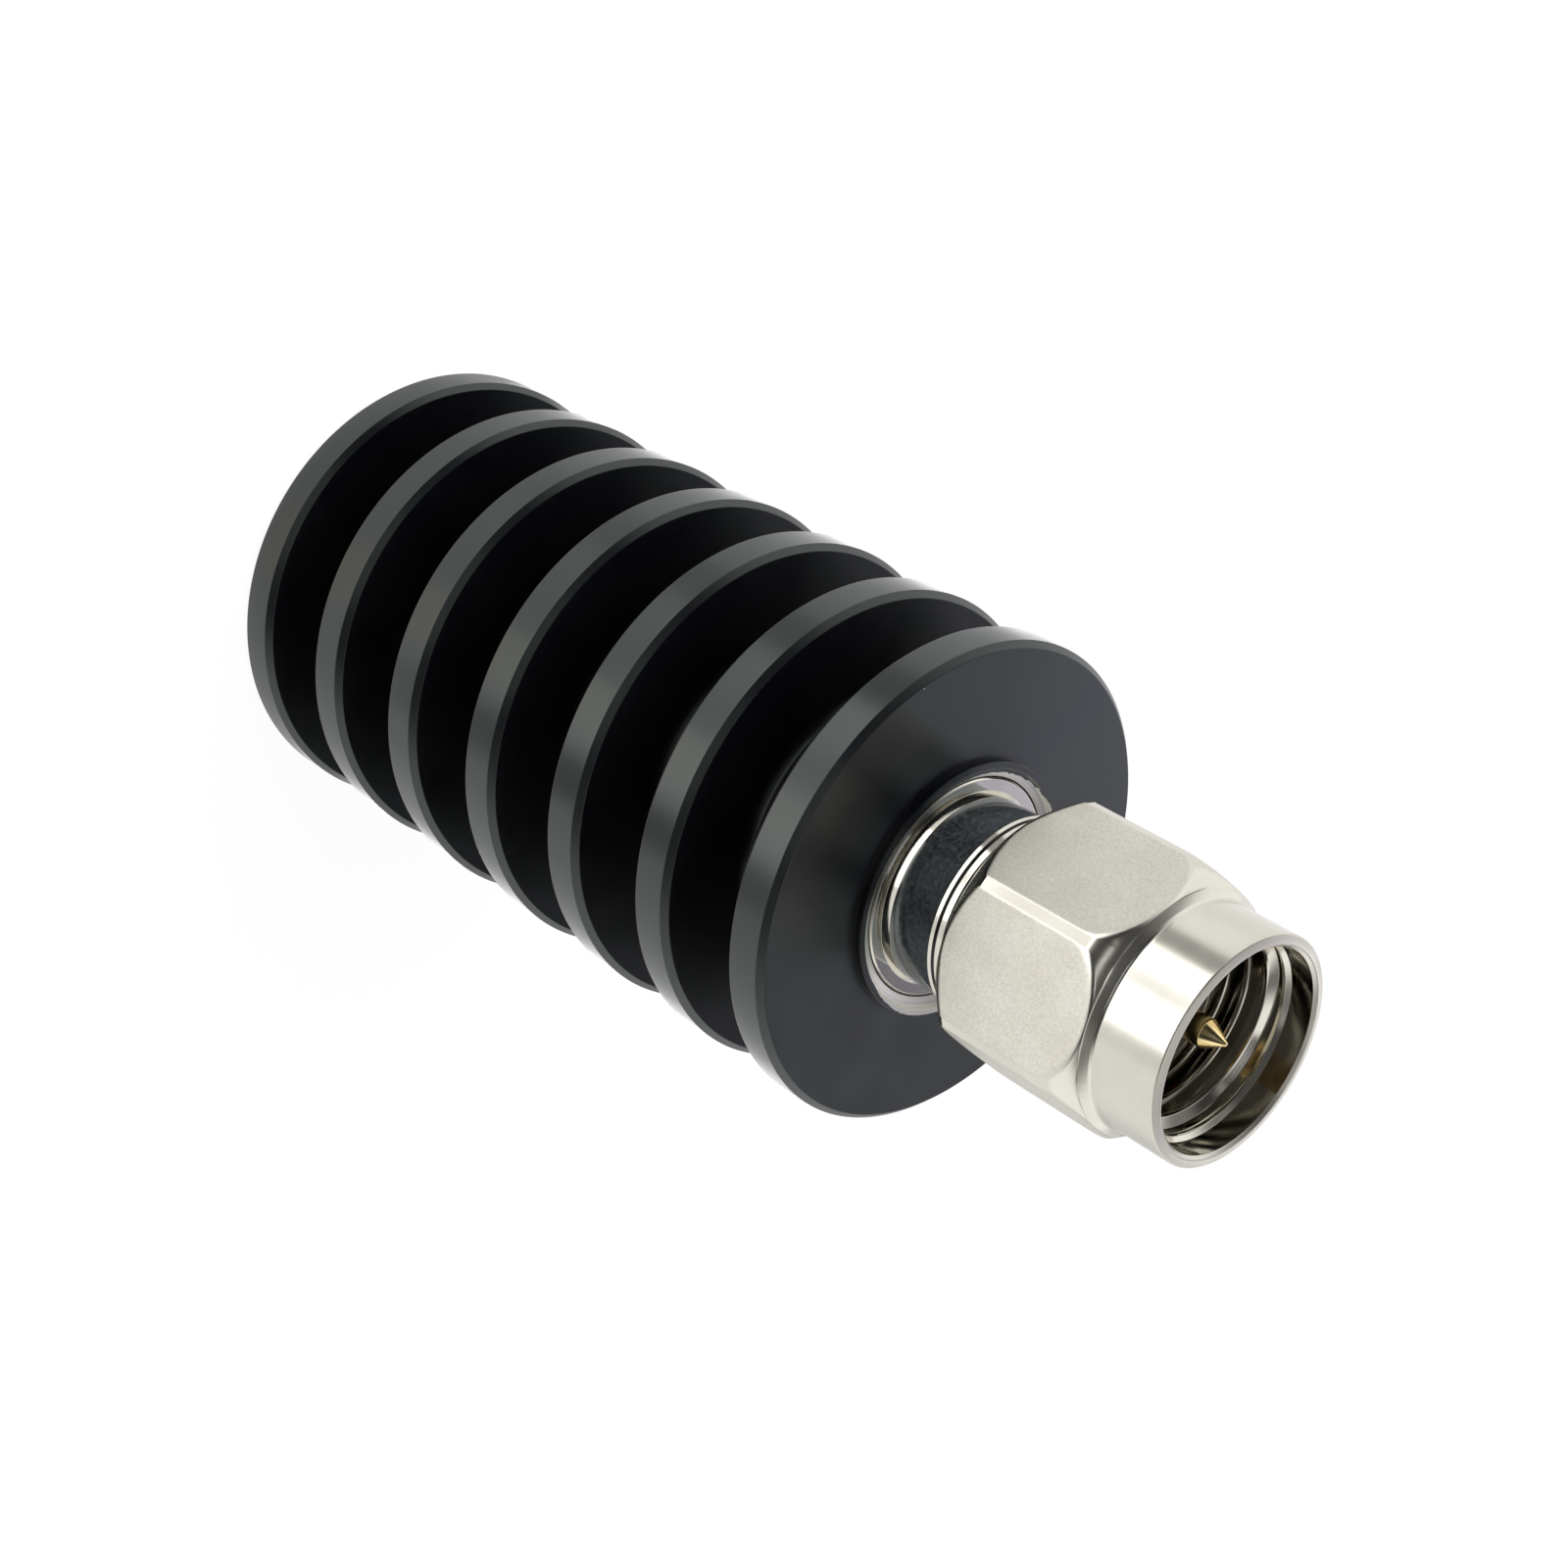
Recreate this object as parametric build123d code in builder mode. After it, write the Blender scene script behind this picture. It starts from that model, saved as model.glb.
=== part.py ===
import os

from build123d import *

os.makedirs("parts", exist_ok=True)

# Finned coaxial termination with a screw-on plug. Sizes are in millimetres.
# Z is the axis of every turned piece: z = 0 is the flat rear face, and the plug points up.

# Heat sink
fin_dia = 16.0
fin_count = 7
fin_thick = 1.54
fin_pitch = 4.33
fin_edge = 0.2
core_dia = 9.8
root_round = 0.35
boss_dia = 8.5
boss_rise = 0.25
boss_edge = 0.1
mouth_dia = 8.1
mouth_depth = 0.22
shank_bore = 7.4
drill_tip_dia = 5.0
drill_tip_depth = 1.4

# Shell, from the flange up
shank_gap = 0.04
flange_rise = 0.08
flange_edge = 0.06
neck_dia = 6.28
neck_len = 1.99
neck_root_width = 0.13
neck_root_len = 0.42
collar_dia = 6.6
collar_len = 0.6
collar_waist = 0.21
collar_waist_dia = 6.5
collar_bead = 0.34
collar_bead_dia = 6.54
collar_brow = 0.52
collar_brow_dia = 6.42
collar_end_dia = 6.3
hub_dia = 5.5
hub_len = 3.1
sleeve_dia = 4.6
sleeve_wall = 0.23
sleeve_len = 2.65
sleeve_edge = 0.06
ring_seat = 1.7
ring_groove_dia = 4.76
seat_bore = 4.9
seat_len = 2.2
load_bore = 6.0
shell_edge = 0.2

# Coupling nut, a hexagon that is turned down to a round nose
nut_gap = 0.38
hex_flats = 7.94
hex_corners = 8.94
hex_turn = 23.0
hex_len = 5.65
rear_face_dia = 7.8
rear_chamfer = 0.7
front_cone = 0.95
front_face_dia = 7.86
front_knee_dia = 8.5
front_knee = 0.42
nose_dia = 7.32
nose_len = 2.55
nose_round = 0.08
nose_root_dia = 7.77
nose_root_len = 0.25
nose_root_round = 0.25
nut_run = 0.07
nut_back = 2.25
ring_pocket_dia = 6.2
thread_dia = 6.35
relief_dia = 6.56
relief_len = 0.7
mouth_bore = 6.5
mouth_len = 0.8
mouth_edge = 0.16

# Snap ring and gasket
ring_thick = 0.45
ring_play = 0.06
ring_in_dia = 4.9
ring_out_dia = 6.0
ring_slot = 1.6
gasket_thick = 0.6
gasket_width = 0.6

# Insulator and centre pin
fit = 0.02
seat_drop = 0.6
pin_dia = 0.92
pin_reach = 2.3
pin_cone = 0.68
pin_tip_dia = 0.12
core_pin_dia = 1.27
pin_groove_dia = 0.96
pin_groove_len = 0.8
pin_stub = 0.4
spigot_dia = 0.8
spigot_len = 0.9

# Resistor, its two caps and the tapered sleeve round it
rod_dia = 1.8
rod_len = 14.0
cap_wall = 0.2
cap_grip = 1.3
cap_floor = 0.35
cap_nose_dia = 1.6
cap_nose_cone = 0.4
taper_front_dia = 5.15
taper_belly_dia = 3.1
load_fit = 0.03

# Disc spring and rear plug
spring_thick = 0.25
spring_rise = 0.3
spring_bore = 1.9
plug_len = 2.4
plug_slot_width = 0.7
plug_slot_depth = 0.9
plug_edge = 0.2

# Heights that follow from the sizes above
front_z = (fin_count - 1) * fin_pitch + fin_thick
neck_top = front_z + flange_rise + neck_len
collar_top = neck_top + collar_len
hub_top = collar_top + hub_len
plane_z = hub_top + sleeve_len
nut_z = collar_top + nut_gap
hex_top = nut_z + hex_len
nut_top = hex_top + nose_len
thread_top = nut_top - mouth_len
ring_z = collar_top + ring_seat
ring_room_top = ring_z + ring_thick + 2 * ring_play

insulator_back = front_z - seat_drop
seat_top = insulator_back + seat_len
pin_back = insulator_back - pin_stub
cap_front = pin_back - load_fit
rod_top = cap_front - spigot_len
rod_bottom = rod_top - rod_len
cap_bottom = rod_bottom - cap_floor
spring_top = cap_bottom
plug_top = spring_top - spring_thick - spring_rise
shank_z = plug_top - plug_len

cap_dia = rod_dia + 2 * (fit + cap_wall)
shank_dia = shank_bore - 2 * shank_gap
bore_dia = sleeve_dia - 2 * sleeve_wall
load_dia = load_bore - 2 * load_fit


# Adds or cuts the solid that one closed outline of (radius, height) points sweeps round the axis.
def turn(*outline, mode=Mode.ADD):
    with BuildSketch(Plane.XZ) as profile:
        with BuildLine():
            Polyline(*outline, close=True)
        make_face()
    revolve(profile.sketch, axis=Axis.Z, mode=mode)


# A plain ring between two heights. With no inner diameter it is a disc.
def turn_ring(low, high, outer, inner=0.0, mode=Mode.ADD):
    turn((inner / 2, low), (outer / 2, low), (outer / 2, high), (inner / 2, high), mode=mode)


# The circular edges of one diameter, at one height or at every height.
def rims(part, diameter, height=None):
    def wanted(edge):
        level = height is None or abs(edge.center().Z - height) < 1e-4
        return level and abs(edge.radius - diameter / 2) < 1e-4

    return part.edges().filter_by(GeomType.CIRCLE).filter_by(wanted)


def save(part, name):
    part.label = name
    export_step(part, f"parts/{name}.step")


# Heat sink: a turned core with round fins, a low boss in front and a blind bore for the shell.
with BuildPart() as heat_sink:
    turn_ring(0, front_z, core_dia)
    for index in range(fin_count):
        fin_z = index * fin_pitch
        turn_ring(fin_z, fin_z + fin_thick, fin_dia)
    chamfer(rims(heat_sink, fin_dia), fin_edge)
    fillet(rims(heat_sink, core_dia), root_round)
    turn_ring(front_z, front_z + boss_rise, boss_dia)
    chamfer(rims(heat_sink, boss_dia, front_z + boss_rise), boss_edge)
    turn_ring(shank_z, front_z + boss_rise, shank_bore, mode=Mode.SUBTRACT)
    turn(
        (0, front_z + boss_rise - mouth_depth),
        (shank_bore / 2, front_z + boss_rise - mouth_depth),
        (mouth_dia / 2, front_z + boss_rise),
        (0, front_z + boss_rise),
        mode=Mode.SUBTRACT,
    )
    turn(
        (0, shank_z - drill_tip_depth),
        (drill_tip_dia / 2, shank_z),
        (0, shank_z),
        mode=Mode.SUBTRACT,
    )
save(heat_sink.part, "heat_sink")


# Shell: shank in the heat sink, flange, neck, collar, hub under the nut and the thin front sleeve.
with BuildPart() as connector_shell:
    turn_ring(shank_z, front_z + flange_rise, shank_dia)
    turn_ring(front_z + flange_rise, neck_top, neck_dia)
    turn(
        (neck_dia / 2, front_z + flange_rise),
        (neck_dia / 2 + neck_root_width, front_z + flange_rise),
        (neck_dia / 2, front_z + flange_rise + neck_root_len),
    )
    turn(
        (0, neck_top),
        (collar_dia / 2, neck_top),
        (collar_waist_dia / 2, neck_top + collar_waist),
        (collar_bead_dia / 2, neck_top + collar_bead),
        (collar_brow_dia / 2, neck_top + collar_brow),
        (collar_end_dia / 2, collar_top),
        (0, collar_top),
    )
    turn_ring(collar_top, hub_top, hub_dia)
    turn_ring(hub_top, plane_z, sleeve_dia)
    chamfer(rims(connector_shell, shank_dia, front_z + flange_rise), flange_edge)
    chamfer(rims(connector_shell, shank_dia, shank_z), shell_edge)
    chamfer(rims(connector_shell, sleeve_dia, plane_z), sleeve_edge)
    turn_ring(ring_z, ring_room_top, hub_dia, ring_groove_dia, mode=Mode.SUBTRACT)
    turn_ring(shank_z, insulator_back, load_bore, mode=Mode.SUBTRACT)
    turn_ring(insulator_back, seat_top, seat_bore, mode=Mode.SUBTRACT)
    turn_ring(seat_top, plane_z, bore_dia, mode=Mode.SUBTRACT)
save(connector_shell.part, "connector_shell")


# Coupling nut: a hexagonal bar cut by the turned outline, with the nose in front.
with BuildPart() as coupling_nut:
    with BuildSketch(Plane.XY.offset(nut_z)):
        RegularPolygon(hex_flats / 2, 6, major_radius=False, rotation=hex_turn)
    extrude(amount=hex_len)
    with BuildSketch(Plane.XZ):
        with BuildLine():
            Polyline(
                (front_face_dia / 2, hex_top),
                (0, hex_top),
                (0, nut_z),
                (rear_face_dia / 2, nut_z),
                (hex_corners / 2, nut_z + rear_chamfer),
                (hex_corners / 2, hex_top - front_cone),
            )
            ThreePointArc(
                (hex_corners / 2, hex_top - front_cone),
                (front_knee_dia / 2, hex_top - front_knee),
                (front_face_dia / 2, hex_top),
            )
        make_face()
    revolve(axis=Axis.Z, mode=Mode.INTERSECT)
    turn_ring(hex_top, nut_top, nose_dia)
    turn(
        (nose_dia / 2, hex_top),
        (nose_root_dia / 2, hex_top),
        (nose_dia / 2, hex_top + nose_root_len),
    )
    fillet(rims(coupling_nut, nose_dia, hex_top + nose_root_len), nose_root_round)
    fillet(rims(coupling_nut, nose_dia, nut_top), nose_round)
    turn_ring(nut_z, thread_top, hub_dia + 2 * nut_run, mode=Mode.SUBTRACT)
    turn_ring(nut_z + nut_back, thread_top, thread_dia, mode=Mode.SUBTRACT)
    turn_ring(nut_z + nut_back, nut_z + nut_back + relief_len, relief_dia, mode=Mode.SUBTRACT)
    turn_ring(ring_z, ring_room_top, ring_pocket_dia, mode=Mode.SUBTRACT)
    turn_ring(thread_top, nut_top, mouth_bore, mode=Mode.SUBTRACT)
    chamfer(rims(coupling_nut, mouth_bore, nut_top), mouth_edge)
save(coupling_nut.part, "coupling_nut")


# Snap ring: a flat split ring that lies half in the shell's groove and half in the nut's pocket.
with BuildPart() as snap_ring:
    turn_ring(ring_z + ring_play, ring_z + ring_play + ring_thick, ring_out_dia, ring_in_dia)
    with BuildSketch(Plane.XY.offset(ring_z)):
        with Locations((ring_out_dia / 2, 0)):
            Rectangle(ring_out_dia, ring_slot)
    extrude(amount=ring_room_top - ring_z, mode=Mode.SUBTRACT)
save(snap_ring.part, "snap_ring")


# Gasket round the root of the front sleeve, flat on the hub.
with BuildPart() as gasket:
    gasket_bore = sleeve_dia + 2 * load_fit
    turn_ring(hub_top, hub_top + gasket_thick, gasket_bore + 2 * gasket_width, gasket_bore)
save(gasket.part, "gasket")


# Insulator: a rod with a wider rear collar that seats in the shell.
with BuildPart() as insulator:
    turn_ring(seat_top, plane_z, bore_dia - 2 * fit)
    turn_ring(insulator_back, seat_top, seat_bore - 2 * fit)
    turn_ring(insulator_back, plane_z, core_pin_dia + 2 * fit, mode=Mode.SUBTRACT)
save(insulator.part, "insulator")


# Centre pin: the pointed front pin, the thick stretch in the insulator and the rear spigot.
with BuildPart() as centre_pin:
    pin_top = plane_z + pin_reach
    groove_z = (insulator_back + plane_z) / 2
    turn(
        (0, pin_back - spigot_len),
        (spigot_dia / 2, pin_back - spigot_len),
        (spigot_dia / 2, pin_back),
        (core_pin_dia / 2, pin_back),
        (core_pin_dia / 2, groove_z),
        (pin_groove_dia / 2, groove_z),
        (pin_groove_dia / 2, groove_z + pin_groove_len),
        (core_pin_dia / 2, groove_z + pin_groove_len),
        (core_pin_dia / 2, plane_z),
        (pin_dia / 2, plane_z),
        (pin_dia / 2, pin_top - pin_cone),
        (pin_tip_dia / 2, pin_top),
        (0, pin_top),
    )
save(centre_pin.part, "centre_pin")


# Front cap: it takes the pin's spigot in its nose and the end of the resistor in its skirt.
with BuildPart() as front_cap:
    turn(
        (0, rod_top - cap_grip),
        (cap_dia / 2, rod_top - cap_grip),
        (cap_dia / 2, cap_front - cap_nose_cone),
        (cap_nose_dia / 2, cap_front),
        (0, cap_front),
    )
    turn_ring(rod_top, cap_front, spigot_dia + 2 * fit, mode=Mode.SUBTRACT)
    turn_ring(rod_top - cap_grip, rod_top, rod_dia + 2 * fit, mode=Mode.SUBTRACT)
save(front_cap.part, "front_cap")


with BuildPart() as resistor_rod:
    turn_ring(rod_bottom, rod_top, rod_dia)
save(resistor_rod.part, "resistor_rod")


# Rear cap: a closed cup on the other end, which the tapered sleeve earths.
with BuildPart() as rear_cap:
    turn_ring(cap_bottom, rod_bottom + cap_grip, cap_dia)
    turn_ring(rod_bottom, rod_bottom + cap_grip, rod_dia + 2 * fit, mode=Mode.SUBTRACT)
save(rear_cap.part, "rear_cap")


# Tapered sleeve: its bore narrows in a curve along the resistor and grips the rear cap.
with BuildPart() as taper_sleeve:
    grip_top = rod_bottom + cap_grip
    belly_z = (grip_top + insulator_back) / 2
    grip_dia = cap_dia + 2 * fit
    turn_ring(spring_top, insulator_back, load_dia)
    with BuildSketch(Plane.XZ):
        with BuildLine():
            Polyline(
                (taper_front_dia / 2, insulator_back),
                (0, insulator_back),
                (0, spring_top),
                (grip_dia / 2, spring_top),
                (grip_dia / 2, grip_top),
            )
            ThreePointArc(
                (grip_dia / 2, grip_top),
                (taper_belly_dia / 2, belly_z),
                (taper_front_dia / 2, insulator_back),
            )
        make_face()
    revolve(axis=Axis.Z, mode=Mode.SUBTRACT)
save(taper_sleeve.part, "taper_sleeve")


# Disc spring: a thin cone with its rim on the plug and its inner edge under the rear cap.
with BuildPart() as disc_spring:
    turn(
        (spring_bore / 2, spring_top - spring_thick),
        (load_dia / 2, plug_top),
        (load_dia / 2, plug_top + spring_thick),
        (spring_bore / 2, spring_top),
    )
save(disc_spring.part, "disc_spring")


# Rear plug, screwed into the end of the shank with a slot for the driver.
with BuildPart() as rear_plug:
    turn_ring(shank_z, plug_top, load_dia)
    chamfer(rims(rear_plug, load_dia), plug_edge)
    with BuildSketch(Plane.XY.offset(shank_z)):
        Rectangle(load_dia, plug_slot_width)
    extrude(amount=plug_slot_depth, mode=Mode.SUBTRACT)
save(rear_plug.part, "rear_plug")

print(f"heat sink {front_z:.2f} long, overall {nut_top:.2f} long, shank to z = {shank_z:.2f}")
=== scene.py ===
import math

import bpy
import numpy as np
from mathutils import Matrix


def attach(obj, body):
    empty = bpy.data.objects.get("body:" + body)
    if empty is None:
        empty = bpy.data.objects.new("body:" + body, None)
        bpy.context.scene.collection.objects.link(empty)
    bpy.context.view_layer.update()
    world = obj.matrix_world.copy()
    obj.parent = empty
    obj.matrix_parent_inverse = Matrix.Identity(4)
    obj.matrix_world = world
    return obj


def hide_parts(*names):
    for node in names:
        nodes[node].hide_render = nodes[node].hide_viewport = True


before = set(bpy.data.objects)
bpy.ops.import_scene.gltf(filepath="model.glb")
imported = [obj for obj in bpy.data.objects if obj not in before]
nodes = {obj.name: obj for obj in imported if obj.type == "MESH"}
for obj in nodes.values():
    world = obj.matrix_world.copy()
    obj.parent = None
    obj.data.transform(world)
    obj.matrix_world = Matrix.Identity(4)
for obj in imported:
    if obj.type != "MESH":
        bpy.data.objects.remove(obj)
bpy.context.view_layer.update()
mm = 0.001
print("frame loaded:", len(nodes), "nodes")

view = {
    "lens": 61.74,  # mm, for a 36 mm sensor and a square picture
    "place": (-0.079, -67.330, 75.076),
    "right": (-0.50313, 0.54968, 0.66687),
    "up": (-0.86421, -0.32001, -0.38824),
    "back": (0.0, -0.77165, 0.63605),
}


def makeCamera():
    data = bpy.data.cameras.new("camera")
    data.lens = view["lens"]
    data.sensor_width = 36
    data.clip_start = 0.002
    data.clip_end = 20
    camera = bpy.data.objects.new("camera", data)
    turn = Matrix((view["right"], view["up"], view["back"])).transposed().to_4x4()
    turn.translation = [value * mm for value in view["place"]]
    camera.matrix_world = turn
    bpy.context.scene.collection.objects.link(camera)
    bpy.context.scene.camera = camera


makeCamera()
bpy.context.scene.view_settings.view_transform = "Standard"
print("camera placed")


# Rounds the corners of an outline. Each corner is (radius, height, round), and a round of size s
# is an arc that leaves both runs at the distance s * tan(turn / 2) from the corner.
def roundCorners(corners, closed=False, steps=4):
    spots = np.array([c[:2] for c in corners], float)
    sizes = [c[2] if len(c) > 2 else 0.0 for c in corners]
    count = len(spots)
    made = []
    for i in range(count):
        here = spots[i]
        if sizes[i] == 0 or (not closed and i in (0, count - 1)):
            made.append(here[None])
            continue
        toLast = spots[i - 1] - here
        toNext = spots[(i + 1) % count] - here
        toLast = toLast / np.linalg.norm(toLast)
        toNext = toNext / np.linalg.norm(toNext)
        half = math.acos(float(np.clip(toLast @ toNext, -1, 1))) / 2
        middle = toLast + toNext
        middle = middle / np.linalg.norm(middle)
        centre = here + middle * sizes[i] / math.sin(half)
        first = here + toLast * sizes[i] / math.tan(half) - centre
        last = here + toNext * sizes[i] / math.tan(half) - centre
        share = np.linspace(0, 1, steps + 1)[:, None]
        wide = math.pi - 2 * half
        arc = (np.sin((1 - share) * wide) * first + np.sin(share * wide) * last) / math.sin(wide)
        made.append(centre + arc)
    return np.vstack(made)


# Makes a mesh of a grid of points, rows by columns, whose columns close round the axis.
# A row that lies on the axis becomes one point. Each normal is the cross product of the steps
# between its neighbours, so long faces stay flat and only the small rounds bend.
def meshFromGrid(name, grid, closed=False):
    rows, columns = grid.shape[:2]
    around = np.roll(grid, -1, 1) - np.roll(grid, 1, 1)
    if closed:
        along = np.roll(grid, -1, 0) - np.roll(grid, 1, 0)
    else:
        along = np.gradient(grid, axis=0)
    normals = np.cross(around, along)
    onAxis = np.hypot(grid[..., 0], grid[..., 1]).max(1) < 1e-9
    facing = np.where(np.arange(rows) == 0, -1, 1)
    normals[onAxis] = np.array([0, 0, 1]) * facing[onAxis, None, None]
    normals = normals / np.maximum(np.linalg.norm(normals, axis=2, keepdims=True), 1e-30)
    keep = np.ones((rows, columns), bool)
    keep[onAxis, 1:] = False
    index = np.cumsum(keep.ravel()).reshape(rows, columns) - 1
    index[onAxis] = index[onAxis][:, :1]
    below = index if closed else index[:-1]
    above = np.roll(index, -1, 0) if closed else index[1:]
    quads = np.stack([below, np.roll(below, -1, 1), np.roll(above, -1, 1), above], 2).reshape(-1, 4)
    faces = [list(dict.fromkeys(q)) for q in quads.tolist()]
    mesh = bpy.data.meshes.new(name)
    mesh.from_pydata(grid[keep].tolist(), [], faces)
    mesh.polygons.foreach_set("use_smooth", np.ones(len(mesh.polygons), bool))
    mesh.normals_split_custom_set_from_vertices(normals[keep].tolist())
    mesh.update()
    return mesh


# A turned piece: every point (r, z) of the outline goes round Z as (r cos a, r sin a, z).
def turned(name, corners, closed=False, sides=256, steps=4):
    outline = roundCorners(corners, closed, steps) * mm
    angle = np.linspace(0, 2 * math.pi, sides, endpoint=False)
    radius, height = outline[:, :1], outline[:, 1:]
    grid = np.stack([radius * np.cos(angle), radius * np.sin(angle), height + 0 * angle], 2)
    return meshFromGrid(name, grid, closed)


def place(mesh, body, material, node=None):
    piece = bpy.data.objects.new(mesh.name, mesh)
    bpy.context.scene.collection.objects.link(piece)
    mesh.materials.append(material)
    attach(piece, body)
    if node:
        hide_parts(node)
    return piece


class Finish:
    def __init__(self, name, **fixed):
        self.material = bpy.data.materials.new(name)
        self.material.use_nodes = True
        self.tree = self.material.node_tree
        self.shader = self.tree.nodes["Principled BSDF"]
        for socket, value in fixed.items():
            self.shader.inputs[socket.replace("_", " ")].default_value = value
        coordinates = self.tree.nodes.new("ShaderNodeTexCoord")
        scale = self.add("ShaderNodeMapping", Vector=coordinates.outputs["Object"])
        scale.inputs["Scale"].default_value = (1 / mm,) * 3  # patterns are in millimetres
        self.where = scale.outputs[0]

    # Links a socket to another node's output, or gives it a fixed value.
    def feed(self, socket, value):
        if isinstance(value, bpy.types.NodeSocket):
            self.tree.links.new(value, socket)
        else:
            socket.default_value = value

    # An input is given by its name, or by its number as n0, n1 and so on.
    def add(self, kind, settings=None, **inputs):
        node = self.tree.nodes.new(kind)
        for key, value in (settings or {}).items():
            setattr(node, key, value)
        for key, value in inputs.items():
            numbered = key[0] == "n" and key[1:].isdigit()
            self.feed(node.inputs[int(key[1:]) if numbered else key.replace("_", " ")], value)
        return node

    def math(self, operation, first, second=0.0, third=0.0):
        settings = {"operation": operation}
        return self.add("ShaderNodeMath", settings, n0=first, n1=second, n2=third).outputs[0]

    def sum(self, first, second):
        return self.math("ADD", first, second)

    def product(self, first, second):
        return self.math("MULTIPLY", first, second)

    def above(self, value, limit):
        return self.math("GREATER_THAN", value, limit)

    def below(self, value, limit):
        return self.math("LESS_THAN", value, limit)

    def length(self, x, y):
        return self.math("SQRT", self.sum(self.product(x, x), self.product(y, y)))

    def axes(self):
        x, y, z = self.add("ShaderNodeSeparateXYZ", Vector=self.where).outputs
        return x, y, z, self.length(x, y)

    def noise(self, scale, detail=2.0, rough=0.5):
        inputs = {"Scale": scale, "Detail": detail, "Roughness": rough}
        return self.add("ShaderNodeTexNoise", Vector=self.where, **inputs).outputs[0]

    def lines(self, along, scale, detail=3.0):
        settings = {"noise_dimensions": "1D"}
        inputs = {"Scale": scale, "Detail": detail}
        return self.add("ShaderNodeTexNoise", settings, W=along, **inputs).outputs[0]

    def between(self, value, low, high, newLow=0.0, newHigh=1.0):
        inputs = {"From_Min": low, "From_Max": high, "To_Min": newLow, "To_Max": newHigh}
        return self.add("ShaderNodeMapRange", Value=value, **inputs).outputs[0]

    # A noise lies mostly between 0.3 and 0.7, which is spread here over a range.
    def ranged(self, noise, low=0.0, high=1.0):
        return self.between(noise, 0.3, 0.7, low, high)

    def blend(self, share, first, second):
        node = self.add("ShaderNodeMix", {"data_type": "RGBA"})
        for key, value in ((0, share), (6, first), (7, second)):
            self.feed(node.inputs[key], value)
        return node.outputs[2]

    def mix(self, share, first, second):
        settings = {"data_type": "FLOAT"}
        return self.add("ShaderNodeMix", settings, n0=share, n2=first, n3=second).outputs[0]

    def bump(self, *layers):
        normal = None
        for height, depth in layers:  # depth in millimetres
            node = self.add("ShaderNodeBump", Height=height, Distance=depth * mm, Strength=1.0)
            if normal:
                self.tree.links.new(normal, node.inputs["Normal"])
            normal = node.outputs[0]
        self.tree.links.new(normal, self.shader.inputs["Normal"])

    # The grain of a turned surface runs round the axis, so reflections spread across it.
    def spread(self, amount):
        self.shader.inputs["Anisotropic"].default_value = amount
        self.shader.inputs["Anisotropic Rotation"].default_value = 0.25
        tangent = self.add("ShaderNodeTangent", {"direction_type": "RADIAL", "axis": "Z"})
        self.tree.links.new(tangent.outputs[0], self.shader.inputs["Tangent"])

    def set(self, **sockets):
        for key, value in sockets.items():
            self.tree.links.new(value, self.shader.inputs[key.replace("_", " ")])


def grey(level, warm=0.0):
    return (level * (1 + warm), level, level * (1 - warm), 1)


# Fine specks: the middle of a few of the cells of a Voronoi pattern.
def specks(finish, cell, size, share):
    node = finish.add("ShaderNodeTexVoronoi", Vector=finish.where, Scale=1 / cell)
    pick = finish.add("ShaderNodeSeparateXYZ", Vector=node.outputs["Color"]).outputs[0]
    near = finish.between(node.outputs["Distance"], size / cell, 0.5 * size / cell)
    return finish.product(near, finish.below(pick, share))


anodising = {
    "index": 1.66,
    # painted shade: a lower index, so that the gaps between the fins and the boss wall reflect less
    # and look shaded
    "gapShadeIndex": 1.42,  # between the fins
    "tint": (0.94, 1.0, 0.985, 1),
    "low": (0.0016, 0.0018, 0.0030, 1),
    "high": (0.0030, 0.0032, 0.0042, 1),
    "rough": (0.27, 0.33),
    "grain": 0.7,
    "dustCell": 0.9,
    "dustSize": 0.03,
    "dustShare": 0.05,
    "bareMiddle": (0.13, 0.33),
    "bareRadius": 4.06,
    "bareRagged": 0.03,
    "bareAbove": 27.29,
    "bareLow": (0.50, 0.47, 0.40, 1),
    "bareHigh": (0.78, 0.76, 0.70, 1),
    "bareGroove": 0.004,
}


def makeAnodised(name, index):
    s = anodising
    finish = Finish(name, IOR=index, Specular_Tint=s["tint"])
    x, y, z, radius = finish.axes()
    along = finish.sum(radius, z)
    turning = finish.lines(along, 9.0)
    rings = finish.lines(along, 30.0)
    grain = finish.noise(22.0, 3.0)
    patches = finish.noise(0.45, 3.0)
    dust = specks(finish, s["dustCell"], s["dustSize"], s["dustShare"])
    # The boss was cut after anodising, a little off the middle, and is bare but for its -Y side.
    ragged = finish.ranged(finish.noise(4.0, 4.0, 0.7), -s["bareRagged"], s["bareRagged"])
    middleX, middleY = s["bareMiddle"]
    offX, offY = finish.math("SUBTRACT", x, middleX), finish.math("SUBTRACT", y, middleY)
    inside = finish.below(finish.sum(finish.length(offX, offY), ragged), s["bareRadius"])
    bare = finish.product(inside, finish.above(z, s["bareAbove"]))
    black = finish.blend(finish.between(patches, 0.35, 0.65), s["low"], s["high"])
    dusty = finish.blend(dust, black, grey(0.30, 0.03))
    metal = finish.blend(finish.ranged(rings), s["bareLow"], s["bareHigh"])
    finish.set(
        Base_Color=finish.blend(bare, dusty, metal),
        Metallic=bare,
        Roughness=finish.ranged(patches, *s["rough"]),
    )
    finish.spread(s["grain"])
    finish.bump((turning, 0.0004), (grain, 0.0006), (finish.product(rings, bare), s["bareGroove"]))
    return finish.material


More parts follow.
